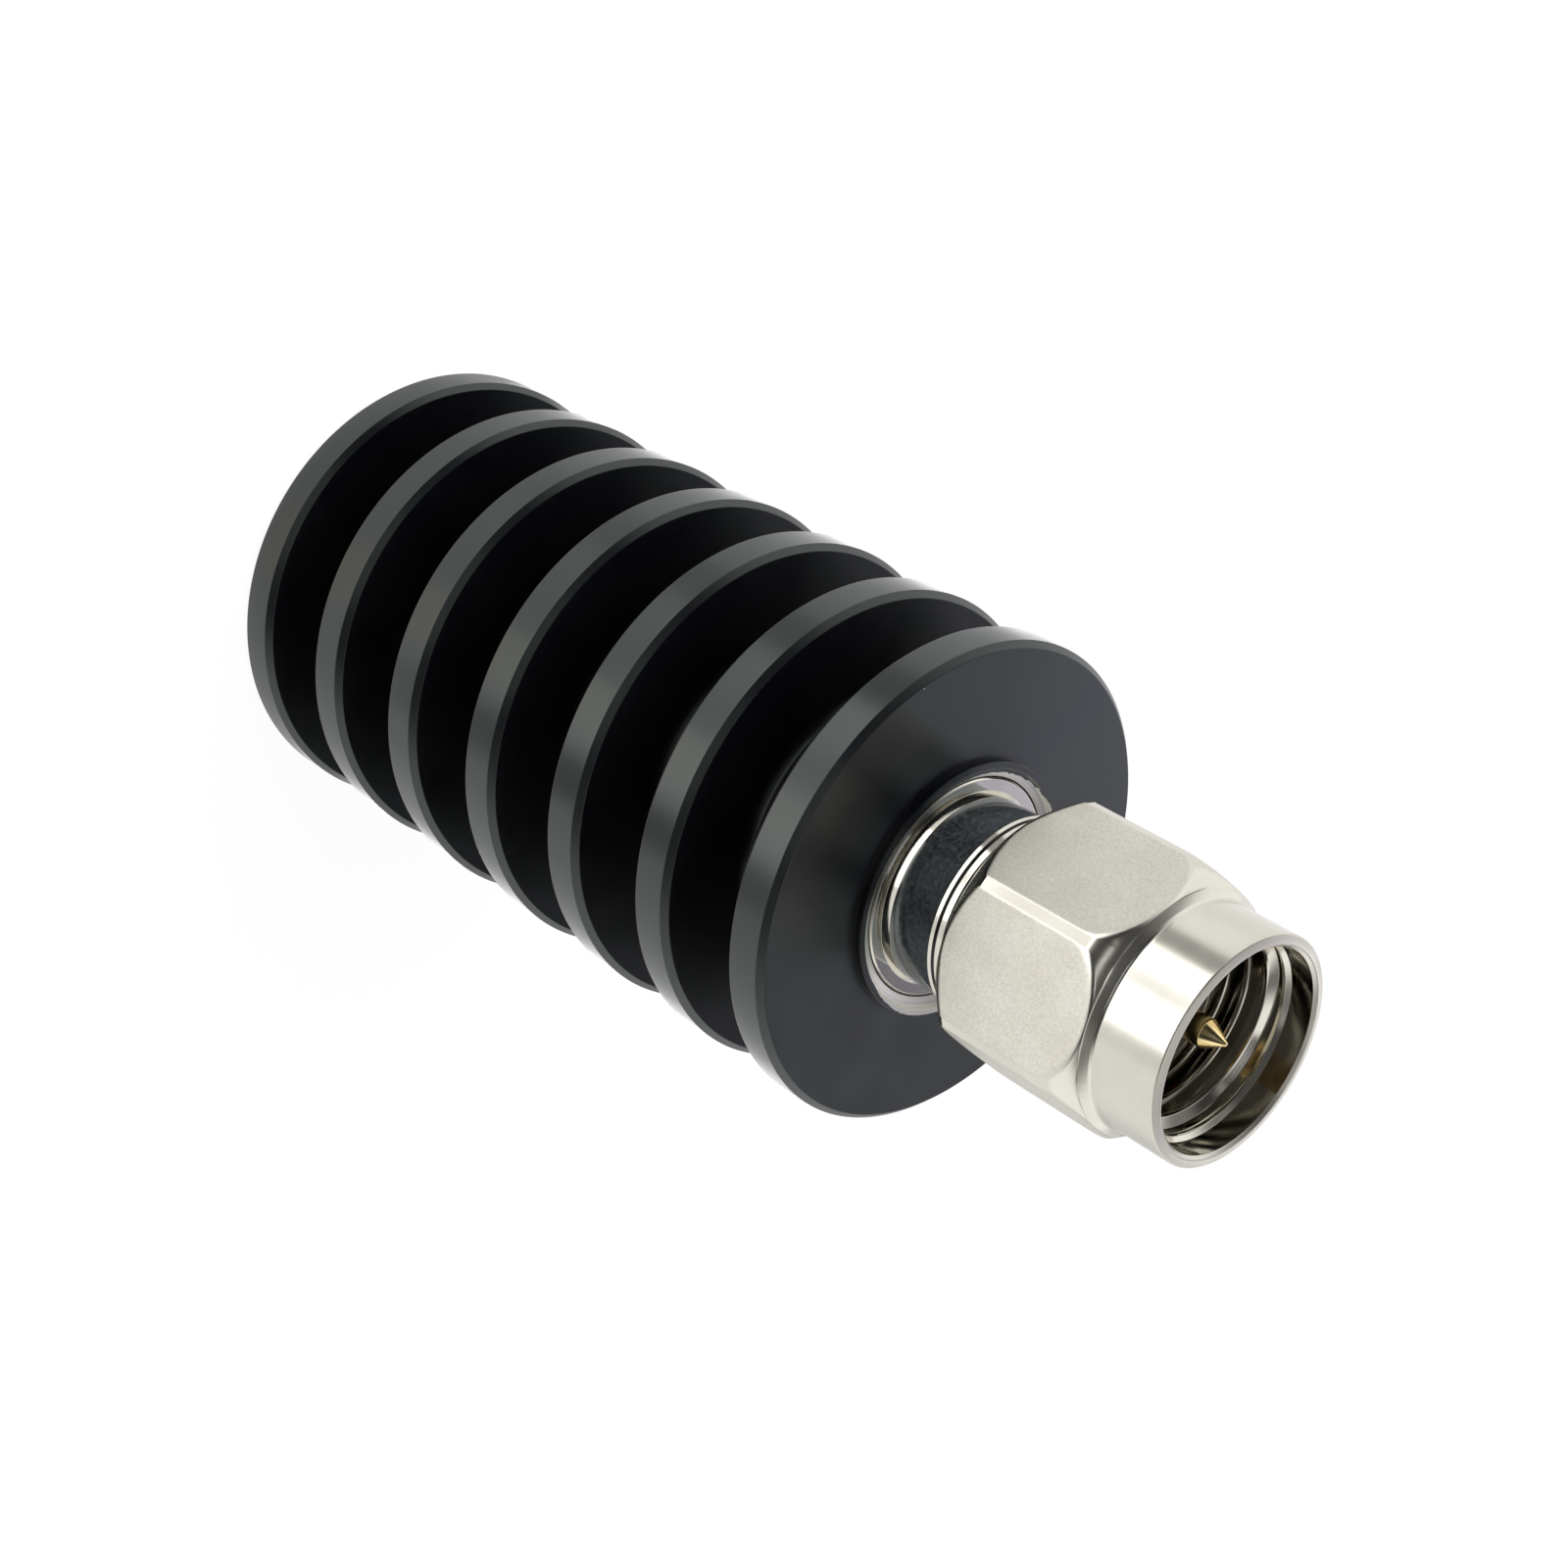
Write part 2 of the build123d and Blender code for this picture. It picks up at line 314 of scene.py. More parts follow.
nickel = {
    "low": (0.640, 0.615, 0.545, 1),
    "high": (0.690, 0.666, 0.596, 1),
    # painted shade: the neck's darker, bluish colour stands in for the dark face it reflects
    "neck": (0.375, 0.41, 0.435, 1),
    "neckLow": 27.89,
    "neckHigh": 29.57,
    "haze": (0.20, 1.0),
    "hazeRough": 0.08,
    "hazeMetal": -0.28,
    "smooth": 0.08,
    "satin": (0.07, 0.12),
    "outsideSatin": 0.10,  # more on the nut's outside than in its bore
    "lipSatin": 0.22,
    "lipHeight": 0.09,
    "matte": (0.42, 0.48),
    "mottle": (0.90, 1.09),
}


def nickelColour(finish):
    s = nickel
    return finish.blend(finish.ranged(finish.noise(0.7, 3.0)), s["low"], s["high"])


# The shell is bright. Its neck is given a darker, bluish colour, painted shade for the dark
# anodised face it reflects, and is hazed by fine spots.
def makeBrightNickel():
    s = nickel
    finish = Finish("brightNickel")
    z, radius = finish.axes()[2:]
    turning = finish.lines(finish.sum(radius, z), 16.0, 4.0)
    # painted shade: between these heights the neck takes the darker, bluish colour
    neck = finish.product(finish.above(z, s["neckLow"]), finish.below(z, s["neckHigh"]))
    spots = finish.between(finish.noise(8.0, 3.0, 0.7), 0.40, 0.74, *s["haze"])
    haze = finish.product(spots, neck)
    finish.set(
        Base_Color=finish.blend(neck, nickelColour(finish), s["neck"]),
        Roughness=finish.math("MULTIPLY_ADD", haze, s["hazeRough"], s["smooth"]),
        Metallic=finish.math("MULTIPLY_ADD", haze, s["hazeMetal"], 1.0),
    )
    finish.bump((turning, 0.0007), (finish.noise(16.0, 4.0, 0.6), 0.0008))
    return finish.material


# The nut's six flats are matte and mottled, and its turned faces are satin.
def makeSatinNickel():
    s = nickel
    finish = Finish("satinNickel", Metallic=1.0)
    x, y, z, radius = finish.axes()
    turning = finish.lines(finish.sum(radius, z), 16.0, 4.0)
    # A point is on a flat where its distance along the nearest flat's direction is half the width.
    reach = None
    for k in range(3):
        a = math.radians(hexNut["turn"] + 30 + 60 * k)
        side = finish.sum(finish.product(x, math.cos(a)), finish.product(y, math.sin(a)))
        side = finish.math("ABSOLUTE", side)
        reach = side if reach is None else finish.math("MAXIMUM", reach, side)
    half = hexNut["flats"] / 2
    flat = finish.between(reach, half - 0.03, half - 0.01)
    flat = finish.product(flat, finish.below(z, hexNut["hexTop"]))
    outside = finish.product(finish.between(radius, 3.40, 3.50), finish.between(radius, 4.44, 4.40))
    satin = finish.ranged(finish.noise(1.1, 3.0), *s["satin"])
    satin = finish.sum(satin, finish.product(outside, s["outsideSatin"]))
    lip = finish.above(z, hexNut["top"] - s["lipHeight"])
    satin = finish.sum(satin, finish.product(lip, s["lipSatin"]))
    matte = finish.ranged(finish.noise(5.0, 4.0), *s["matte"])
    mottle = finish.between(finish.noise(13.0, 3.0, 0.7), 0.36, 0.64, *s["mottle"])
    mottle = finish.mix(flat, 1.0, mottle)
    scaled = {"operation": "SCALE"}
    shade = finish.add("ShaderNodeVectorMath", scaled, n0=nickelColour(finish), Scale=mottle)
    finish.set(Base_Color=shade.outputs[0], Roughness=finish.mix(flat, satin, matte))
    onNose = finish.above(z, hexNut["hexTop"])
    finish.bump(
        (finish.product(finish.noise(7.0, 5.0, 0.8), flat), 0.003),
        (finish.product(turning, onNose), 0.0010),
    )
    return finish.material


def makePlain(name, low, high, scale, rough, depth, **fixed):
    finish = Finish(name, **fixed)
    pattern = finish.noise(scale, 3.0)
    finish.set(
        Base_Color=finish.blend(finish.ranged(pattern), low, high),
        Roughness=finish.ranged(pattern, *rough),
    )
    finish.bump((finish.noise(scale * 6, 3.0), depth))
    return finish.material


sink = {
    "finRadius": 8.0,
    "fins": 7,
    "thick": 1.54,
    "pitch": 4.33,
    "edge": 0.2,
    "coreRadius": 4.9,
    "rootRound": 0.35,
    "bossRadius": 4.25,
    "bossRise": 0.25,
    "bossEdge": 0.03,
    "mouthRadius": 4.05,
    "mouthDepth": 0.22,
    "boreRadius": 3.7,
    "boreFloor": 8.29,
    "drillRadius": 2.5,
    "drillDepth": 1.4,
    "cornerRound": 0.045,
}


def makeSink():
    s = sink
    outer, inner, small = s["finRadius"], s["coreRadius"], s["cornerRound"]
    corners = [(0, 0)]
    for k in range(s["fins"]):
        low = k * s["pitch"]
        high = low + s["thick"]
        if k:
            corners.append((inner, low, s["rootRound"]))
        corners += [
            (outer - s["edge"], low, small),
            (outer, low + s["edge"], small),
            (outer, high - s["edge"], small),
            (outer - s["edge"], high, small),
        ]
        if k < s["fins"] - 1:
            corners.append((inner, high, s["rootRound"]))
    top = high + s["bossRise"]
    corners += [
        (s["bossRadius"], high, 0.005),
        (s["bossRadius"], top - s["bossEdge"], 0.01),
        (s["bossRadius"] - s["bossEdge"], top, 0.01),
        (s["mouthRadius"], top, 0.015),
        (s["mouthRadius"] - 0.05, top - s["mouthDepth"] + 0.05, 0.03),
        (s["boreRadius"], top - s["mouthDepth"], 0.015),
        (s["boreRadius"], s["boreFloor"], 0.02),
        (s["drillRadius"], s["boreFloor"], 0.02),
        (0, s["boreFloor"] - s["drillDepth"]),
    ]
    return turned("finnedBody", corners, sides=256)


# Gives the faces between the fins, and the wall of the boss, the copy with the lower index: painted
# shade, as they reflect less.
def paintGapShade(mesh):
    s = sink
    centres = np.empty(len(mesh.polygons) * 3)
    mesh.polygons.foreach_get("center", centres)
    x, y, z = centres.reshape(-1, 3).T / mm
    radius = np.hypot(x, y)
    face = (s["fins"] - 1) * s["pitch"] + s["thick"]
    deep = (radius > s["coreRadius"] - 0.1) & (radius < s["finRadius"] - 1.2 * s["edge"])
    gaps = deep & (z > s["thick"] / 2) & (z < face - s["thick"] / 2)
    small = 0.001
    wall = (radius > s["bossRadius"] - 1.1 * s["bossEdge"]) & (z > face + small)
    wall &= z < face + s["bossRise"] - small
    mesh.polygons.foreach_set("material_index", (gaps | wall).astype(np.int32))


finned = makeSink()
black = makeAnodised("anodisedBlack", anodising["index"])
place(finned, "load", black, "heat_sink")
# painted shade: a copy of the anodising that reflects less, for the gaps between the fins and the
# boss wall
finned.materials.append(makeAnodised("gapShadeAnodised", anodising["gapShadeIndex"]))
paintGapShade(finned)
print("heat sink made")


shell = {
    "back": 8.29,
    "plane": 35.94,
    "shankRadius": 3.66,
    "flangeTop": 27.60,
    "neckRadius": 3.14,
    "neckTop": 29.59,
    "rootWidth": 0.10,
    "rootHeight": 0.27,
    "collarRadius": 3.30,
    "collarTop": 30.19,
    "hubRadius": 2.75,
    "grooveRadius": 2.38,
    "grooveLow": 31.89,
    "grooveHigh": 32.46,
    "hubTop": 33.29,
    "sleeveRadius": 2.30,
    "boreRadius": 2.07,
    "seatRadius": 2.45,
    "seatTop": 29.12,
    "seatLow": 26.92,
    "loadRadius": 3.0,
}


def makeShell():
    s = shell
    corners = [
        (s["shankRadius"] - 0.2, s["back"], 0.03),
        (s["shankRadius"], s["back"] + 0.2, 0.03),
        (s["shankRadius"], s["flangeTop"] - 0.06, 0.03),
        (s["shankRadius"] - 0.06, s["flangeTop"], 0.03),
        (s["neckRadius"] + s["rootWidth"], s["flangeTop"], 0.02),
        (s["neckRadius"], s["flangeTop"] + s["rootHeight"], 0.06),
        (s["neckRadius"], s["neckTop"], 0.02),
        (s["collarRadius"], s["neckTop"], 0.03),
        (s["collarRadius"] - 0.045, s["neckTop"] + 0.14, 0.02),
        (s["collarRadius"] - 0.04, s["neckTop"] + 0.28, 0.02),
        (s["collarRadius"] - 0.085, s["neckTop"] + 0.44, 0.03),
        (s["collarRadius"] - 0.16, s["collarTop"], 0.03),
        (s["hubRadius"], s["collarTop"], 0.05),
        (s["hubRadius"], s["grooveLow"], 0.02),
        (s["grooveRadius"], s["grooveLow"], 0.02),
        (s["grooveRadius"], s["grooveHigh"], 0.02),
        (s["hubRadius"], s["grooveHigh"], 0.02),
        (s["hubRadius"], s["hubTop"], 0.04),
        (s["sleeveRadius"], s["hubTop"], 0.04),
        (s["sleeveRadius"], s["plane"] - 0.06, 0.03),
        (s["sleeveRadius"] - 0.06, s["plane"], 0.02),
        (s["boreRadius"], s["plane"], 0.02),
        (s["boreRadius"], s["seatTop"], 0.02),
        (s["seatRadius"], s["seatTop"], 0.02),
        (s["seatRadius"], s["seatLow"], 0.02),
        (s["loadRadius"], s["seatLow"], 0.02),
        (s["loadRadius"], s["back"], 0.02),
    ]
    return turned("plugShell", corners, closed=True, sides=224)


place(makeShell(), "load", makeBrightNickel(), "connector_shell")
print("shell made")


hexNut = {
    "turn": 23.0,  # degrees, of the first corner from +X
    "flats": 7.94,
    "cornerRadius": 4.47,
    "back": 30.57,
    "hexTop": 36.22,
    "top": 38.77,
    "rearRadius": 3.9,
    "rearChamfer": 0.7,
    "cone": ((4.47, 35.27), (4.25, 35.80), (3.93, 36.22)),
    "noseRadius": 3.66,
    "rootStep": 3.905,
    "rootHeight": 0.25,
    "rootRound": 0.25,
    "noseRound": 0.08,
    "mouthRadius": 3.25,
    "mouthEdge": 0.09,
    "threadRadius": 3.175,
    "leadTop": 37.90,
    "leadWidth": 0.13,
    "lipDrop": 0.06,
    "lipWidth": 0.27,
    "reliefRadius": 3.28,
    "reliefTop": 33.52,
    "reliefLow": 32.82,
    "boreRadius": 2.82,
    "pocketRadius": 3.1,
    "pocketTop": 32.46,
    "pocketLow": 31.89,
    "cornerSoft": 0.02,
    "rearSoft": 0.12,
    "coneSoft": 0.11,
    "rearEase": 0.14,
    "coneEase": 0.24,
}


# The centre and radius of the circle through three points.
def circleThrough(a, b, c):
    (ax, ay), (bx, by), (cx, cy) = a, b, c
    d = 2 * (ax * (by - cy) + bx * (cy - ay) + cx * (ay - by))
    a2, b2, c2 = ax * ax + ay * ay, bx * bx + by * by, cx * cx + cy * cy
    x = (a2 * (by - cy) + b2 * (cy - ay) + c2 * (ay - by)) / d
    y = (a2 * (cx - bx) + b2 * (ax - cx) + c2 * (bx - ax)) / d
    return x, y, math.hypot(ax - x, ay - y)


# The smaller of two lengths, with the crossing eased over the width k.
def softMin(a, b, k):
    h = np.maximum(k - np.abs(a - b), 0) / k
    return np.minimum(a, b) - h * h * k / 4


# The nut's rows are rings. On the hexagon each ring follows the curve where the flats cross the
# turned outline: the radius is the soft minimum of the flat's distance / cos(angle from its
# middle), the corner radius, and the outline's radius at that height.
def makeNut():
    s = hexNut
    half = s["flats"] / 2
    edge = 30 - math.degrees(math.acos(half / s["cornerRadius"]))
    near = np.array([-1.0, -0.6, -0.3, 0.0, 0.3, 0.6, 1.0])
    beside = 0.9  # degrees
    band = np.linspace(-edge + beside, edge - beside, 3)
    flat = np.linspace(edge + beside, 60 - edge - beside, 28)
    offsets = np.sort(np.concatenate([-edge + 0.5 * near, band, edge + 0.5 * near, flat]))
    angle = np.radians(np.concatenate([s["turn"] + 60 * k + offsets for k in range(6)]))
    fromMiddle = np.radians((np.degrees(angle) - s["turn"]) % 60 - 30)
    corner = np.full(angle.shape, s["cornerRadius"])
    reach = softMin(half / np.cos(fromMiddle), corner, s["cornerSoft"])

    coneX, coneZ, coneRadius = circleThrough(*s["cone"])
    slope = (s["cornerRadius"] - s["rearRadius"]) / s["rearChamfer"]
    rearCross = s["back"] + (reach - s["rearRadius"]) / slope
    frontCross = coneZ + np.sqrt(np.maximum(coneRadius**2 - (reach - coneX) ** 2, 0))
    frontBlend = s["coneEase"]
    fine = np.linspace(-1, 1, 15)[:, None]
    last = s["hexTop"] - 0.012
    room = np.minimum(frontBlend, 0.8 * (last - frontCross))
    share = np.linspace(0, 1, 9)[1:-1, None]
    blend = np.minimum(s["rearEase"], 0.7 * (rearCross - s["back"]))
    low = s["back"] + (rearCross - blend - s["back"]) * np.array([[0.25], [0.6]])
    middle = (rearCross + blend) + (frontCross - rearCross - blend - frontBlend) * share
    atFront = frontCross + np.where(fine > 0, fine * room, fine * frontBlend)
    after = (frontCross + room) + (last - frontCross - room) * np.linspace(0, 1, 10)[1:, None]
    height = np.vstack([low, rearCross + fine * blend, middle, atFront, after])
    rear = s["rearRadius"] + (height - s["back"]) * slope
    front = coneX + np.sqrt(np.maximum(coneRadius**2 - (height - coneZ) ** 2, 0))
    # Below its start the cone goes on straight, so that the crossing is eased on both sides.
    startRadius, startHeight = s["cone"][0]
    startSlope = (startHeight - coneZ) / (startRadius - coneX)
    front = np.where(height < startHeight, startRadius + (startHeight - height) * startSlope, front)
    radius = softMin(np.broadcast_to(reach, height.shape), rear, s["rearSoft"])
    radius = softMin(radius, front, s["coneSoft"])

    corners = [
        (s["rootStep"], s["hexTop"], 0.03),
        (s["noseRadius"], s["hexTop"] + s["rootHeight"], s["rootRound"]),
        (s["noseRadius"], s["top"] - s["lipDrop"], s["noseRound"]),
        (s["noseRadius"] - s["lipWidth"], s["top"], 0.15),
        (s["mouthRadius"] + s["mouthEdge"], s["top"] - 0.005, 0.025),
        (s["mouthRadius"], s["top"] - s["mouthEdge"], 0.025),
        (s["mouthRadius"], s["leadTop"], 0.01),
        (s["mouthRadius"] - s["leadWidth"], s["leadTop"] - s["leadWidth"], 0.02),
        (s["threadRadius"], s["leadTop"] - s["leadWidth"] - 0.15, 0.01),
        (s["threadRadius"], s["reliefTop"], 0.02),
        (s["reliefRadius"], s["reliefTop"], 0.03),
        (s["reliefRadius"], s["reliefLow"], 0.03),
        (s["boreRadius"], s["reliefLow"], 0.03),
        (s["boreRadius"], s["pocketTop"], 0.02),
        (s["pocketRadius"], s["pocketTop"], 0.02),
        (s["pocketRadius"], s["pocketLow"], 0.02),
        (s["boreRadius"], s["pocketLow"], 0.02),
        (s["boreRadius"], s["back"], 0.05),
        (s["rearRadius"] - 0.03, s["back"]),
    ]
    outline = roundCorners(corners, steps=5)
    rings = (len(outline), len(angle))
    ringRadius = np.vstack([radius, np.broadcast_to(outline[:, :1], rings)]) * mm
    ringHeight = np.vstack([height, np.broadcast_to(outline[:, 1:], rings)]) * mm
    grid = np.stack([ringRadius * np.cos(angle), ringRadius * np.sin(angle), ringHeight], 2)
    return meshFromGrid("hexCouplingNut", grid, closed=True)


nutNickel = makeSatinNickel()
place(makeNut(), "nut", nutNickel, "coupling_nut")
print("nut made")

thread = {
    "pitch": 0.70556,
    "crestRadius": 2.87,
    "rootRadius": 3.20,  # a little inside the nut's wall
    "crestWidth": 0.14,
    "start": 33.45,
    "stop": 38.20,
    "runOut": 0.35,  # turns
    "phase": 0.0,
    "perTurn": 128,
    "leadStart": 37.30,  # above it the crests are turned back
    "leadLength": 0.30,
    "leadDepth": 0.25,
}


# The thread's ridge: a trapezium carried along the helix (r cos a, r sin a, pitch * turns).
# It is cut off flat at the counterbore's floor, and its height runs out at the inner end.
def makeThread():
    s = thread
    turns = (s["stop"] - s["start"]) / s["pitch"]
    count = int(turns * s["perTurn"])
    t = np.linspace(0, turns, count)
    rise = np.clip(t / s["runOut"], 0.02, 1)
    depth = s["rootRadius"] - s["crestRadius"]
    crest = s["crestWidth"] / 2
    slope = math.tan(math.radians(30))
    # The points near both ends of a flank keep its shading flat.
    side = [(inward, crest + (depth - inward) * slope) for inward in (0, 0.02, depth - 0.06)]
    tops = [(depth, -crest, 0.04), (depth, crest, 0.04)]
    profile = roundCorners([(r, -z) for r, z in side] + tops + side[::-1])
    angle = 2 * math.pi * t + math.radians(s["phase"])
    inward = profile[:, 0][:, None] * rise
    height = s["start"] + s["pitch"] * t + profile[:, 1][:, None] * (0.4 + 0.6 * rise)
    turnedBack = np.clip((height - s["leadStart"]) / s["leadLength"], 0, 1)
    least = s["crestRadius"] + s["leadDepth"] * turnedBack
    radius = np.maximum(s["rootRadius"] - inward, least) * mm
    height = np.minimum(height, hexNut["leadTop"] - hexNut["leadWidth"]) * mm
    grid = np.stack([radius * np.cos(angle), radius * np.sin(angle), height], 2)
    rows = len(profile)
    index = np.arange(rows * count).reshape(rows, count)
    below, above = index, np.roll(index, -1, 0)
    quads = np.stack([below[:, :-1], below[:, 1:], above[:, 1:], above[:, :-1]], 2).reshape(-1, 4)
    ends = [index[:, 0].tolist(), index[::-1, -1].tolist()]
    mesh = bpy.data.meshes.new("nutThread")
    mesh.from_pydata(grid.reshape(-1, 3).tolist(), [], quads.tolist() + ends)
    mesh.polygons.foreach_set("use_smooth", np.ones(len(mesh.polygons), bool))
    mesh.update()
    return mesh


place(makeThread(), "nut", nutNickel)
print("thread made")


pin = {
    "back": 26.52,
    "spigot": 0.9,
    "spigotRadius": 0.4,
    "bodyRadius": 0.635,
    "grooveLow": 31.43,
    "grooveLength": 0.8,
    "grooveRadius": 0.48,
    "plane": 35.94,
    "radius": 0.46,
    "top": 38.24,
    "cone": 0.68,
    "tip": 0.06,
}


def makePin():
    s = pin
    corners = [
        (0, s["back"] - s["spigot"]),
        (s["spigotRadius"], s["back"] - s["spigot"], 0.02),
        (s["spigotRadius"], s["back"], 0.02),
        (s["bodyRadius"], s["back"], 0.02),
        (s["bodyRadius"], s["grooveLow"], 0.02),
        (s["grooveRadius"], s["grooveLow"], 0.02),
        (s["grooveRadius"], s["grooveLow"] + s["grooveLength"], 0.02),
        (s["bodyRadius"], s["grooveLow"] + s["grooveLength"], 0.02),
        (s["bodyRadius"], s["plane"], 0.02),
        (s["radius"], s["plane"], 0.02),
        (s["radius"], s["top"] - s["cone"], 0.06),
        (s["tip"], s["top"], 0.04),
        (0, s["top"]),
    ]
    return turned("goldPin", corners, sides=96)


insulator = {
    "boreRadius": 0.655,
    "back": 26.92,
    "stepRadius": 2.43,
    "stepTop": 29.12,
    "radius": 2.05,
    "plane": 35.94,
}


def makeInsulator():
    s = insulator
    corners = [
        (s["boreRadius"], s["back"], 0.02),
        (s["stepRadius"], s["back"], 0.04),
        (s["stepRadius"], s["stepTop"], 0.04),
        (s["radius"], s["stepTop"], 0.02),
        (s["radius"], s["plane"], 0.04),
        (s["boreRadius"], s["plane"], 0.02),
    ]
    return turned("shadedInsulator", corners, closed=True, sides=128)


gasket = {
    "inner": 2.33,
    "outer": 2.93,
    "back": 33.29,
    "front": 33.89,
    "backRound": 0.12,
    "frontRound": 0.2,
}


def makeGasket():
    s = gasket
    corners = [
        (s["inner"], s["back"], s["backRound"]),
        (s["outer"], s["back"], s["backRound"]),
        (s["outer"], s["front"], s["frontRound"]),
        (s["inner"], s["front"], s["frontRound"]),
    ]
    return turned("softGasket", corners, closed=True, sides=128, steps=6)


# Each finish varies from low to high over patches of 1 / scale mm. Depth is of its bumps, in mm.
plainFinishes = {
    "goldPlate": {
        "low": (0.92, 0.68, 0.31, 1),
        "high": (1.0, 0.82, 0.47, 1),
        "scale": 1.6,
        "rough": (0.08, 0.14),
        "depth": 0.0004,
        "Metallic": 1.0,
    },
    # painted shade: the white insulator is given a near black colour, for the shade deep inside the
    # nut
    "shadedInsulation": {
        "low": grey(0.02, 0.1),
        "high": grey(0.035, 0.1),
        "scale": 1.2,
        "rough": (0.35, 0.45),
        "depth": 0.002,
        "IOR": 1.38,
    },
    "redSilicone": {
        "low": (0.26, 0.035, 0.022, 1),
        "high": (0.36, 0.055, 0.035, 1),
        "scale": 2.0,
        "rough": (0.55, 0.7),
        "depth": 0.003,
    },
    "ringBronze": {
        "low": (0.62, 0.36, 0.20, 1),
        "high": (0.74, 0.46, 0.27, 1),
        "scale": 2.0,
        "rough": (0.2, 0.3),
        "depth": 0.001,
        "Metallic": 1.0,
    },
    "springSteel": {
        "low": grey(0.40),
        "high": grey(0.52),
        "scale": 1.5,
        "rough": (0.25, 0.35),
        "depth": 0.001,
        "Metallic": 1.0,
    },
    "resistorFilm": {
        "low": (0.030, 0.024, 0.020, 1),
        "high": (0.055, 0.043, 0.034, 1),
        "scale": 3.0,
        "rough": (0.35, 0.5),
        "depth": 0.001,
    },
    "turnedBrass": {
        "low": (0.66, 0.46, 0.20, 1),
        "high": (0.76, 0.56, 0.27, 1),
        "scale": 1.5,
        "rough": (0.22, 0.32),
        "depth": 0.001,
        "Metallic": 1.0,
    },
}
plain = {name: makePlain(name, **values) for name, values in plainFinishes.items()}
place(makePin(), "load", plain["goldPlate"], "centre_pin")
place(makeInsulator(), "load", plain["shadedInsulation"], "insulator")
place(makeGasket(), "load", plain["redSilicone"], "gasket")
print("pin, insulator and gasket made")

# The pieces of the load that no side shows keep their meshes, in finishes of their own.
hidden = {
    "snap_ring": "ringBronze",
    "disc_spring": "springSteel",
    "resistor_rod": "resistorFilm",
    "taper_sleeve": "turnedBrass",
    "rear_plug": "turnedBrass",
    "front_cap": "goldPlate",
    "rear_cap": "goldPlate",
}
for name, finish in hidden.items():
    mesh = nodes[name].data
    mesh.materials.clear()
    mesh.materials.append(plain[finish])
print("hidden pieces finished:", len(hidden))


studio = {
    "floorSize": 3.0,
    "floorDrop": -1e-5,
    "floorShare": 0.90,  # the part of the floor's white that has no shadow
    "floorGlow": 1.045,
    "worldLight": 0.55,
    "domeRadius": 0.8,
}


def seenDirectly(tree):
    path = tree.nodes.new("ShaderNodeLightPath")
    total = None
    for name in ("Is Camera Ray", "Is Glossy Ray", "Is Transmission Ray"):
        if total is None:
            total = path.outputs[name]
            continue
        add = tree.nodes.new("ShaderNodeMath")
        add.operation = "MAXIMUM"
        tree.links.new(total, add.inputs[0])
        tree.links.new(path.outputs[name], add.inputs[1])
        total = add.outputs[0]
    return total


def makeFloor():
    size = studio["floorSize"]
    mesh = bpy.data.meshes.new("floor")
    signs = ((-1, -1), (1, -1), (1, 1), (-1, 1))
    corners = [(x * size, y * size, studio["floorDrop"]) for x, y in signs]
    mesh.from_pydata(corners, [], [(0, 1, 2, 3)])
    floor = bpy.data.objects.new("floor", mesh)
    bpy.context.scene.collection.objects.link(floor)
    material = bpy.data.materials.new("paleFloor")
    material.use_nodes = True
    tree = material.node_tree
    tree.nodes.remove(tree.nodes["Principled BSDF"])
    diffuse = tree.nodes.new("ShaderNodeBsdfDiffuse")
    diffuse.inputs["Color"].default_value = (0.88, 0.88, 0.88, 1)
    glow = tree.nodes.new("ShaderNodeEmission")
    glow.inputs["Strength"].default_value = studio["floorGlow"]
    share = tree.nodes.new("ShaderNodeMath")
    share.operation = "MULTIPLY"
    share.inputs[1].default_value = studio["floorShare"]
    tree.links.new(seenDirectly(tree), share.inputs[0])
    mix = tree.nodes.new("ShaderNodeMixShader")
    tree.links.new(share.outputs[0], mix.inputs[0])
    tree.links.new(diffuse.outputs[0], mix.inputs[1])
    tree.links.new(glow.outputs[0], mix.inputs[2])
    tree.links.new(mix.outputs[0], tree.nodes["Material Output"].inputs["Surface"])
    mesh.materials.append(material)


def makeWorld():
    world = bpy.data.worlds.new("studio")
    bpy.context.scene.world = world
    world.use_nodes = True
    tree = world.node_tree
    background = tree.nodes["Background"]
    seen = seenDirectly(tree)
    strength = tree.nodes.new("ShaderNodeMapRange")
    strength.inputs["To Min"].default_value = studio["worldLight"]
    strength.inputs["To Max"].default_value = 1.0
    tree.links.new(seen, strength.inputs["Value"])
    tree.links.new(strength.outputs[0], background.inputs["Strength"])
    background.inputs["Color"].default_value = (1, 1, 1, 1)


# Eases from 0 at low to 1 at high.
def ease(value, low, high):
    t = np.clip((value - low) / (high - low), 0, 1)
    return t * t * (3 - 2 * t)


# 1 between low and high, easing to 0 over soft on both sides.
def window(value, low, high, soft):
    return ease(value, low - soft, low) * (1 - ease(value, high, high + soft))


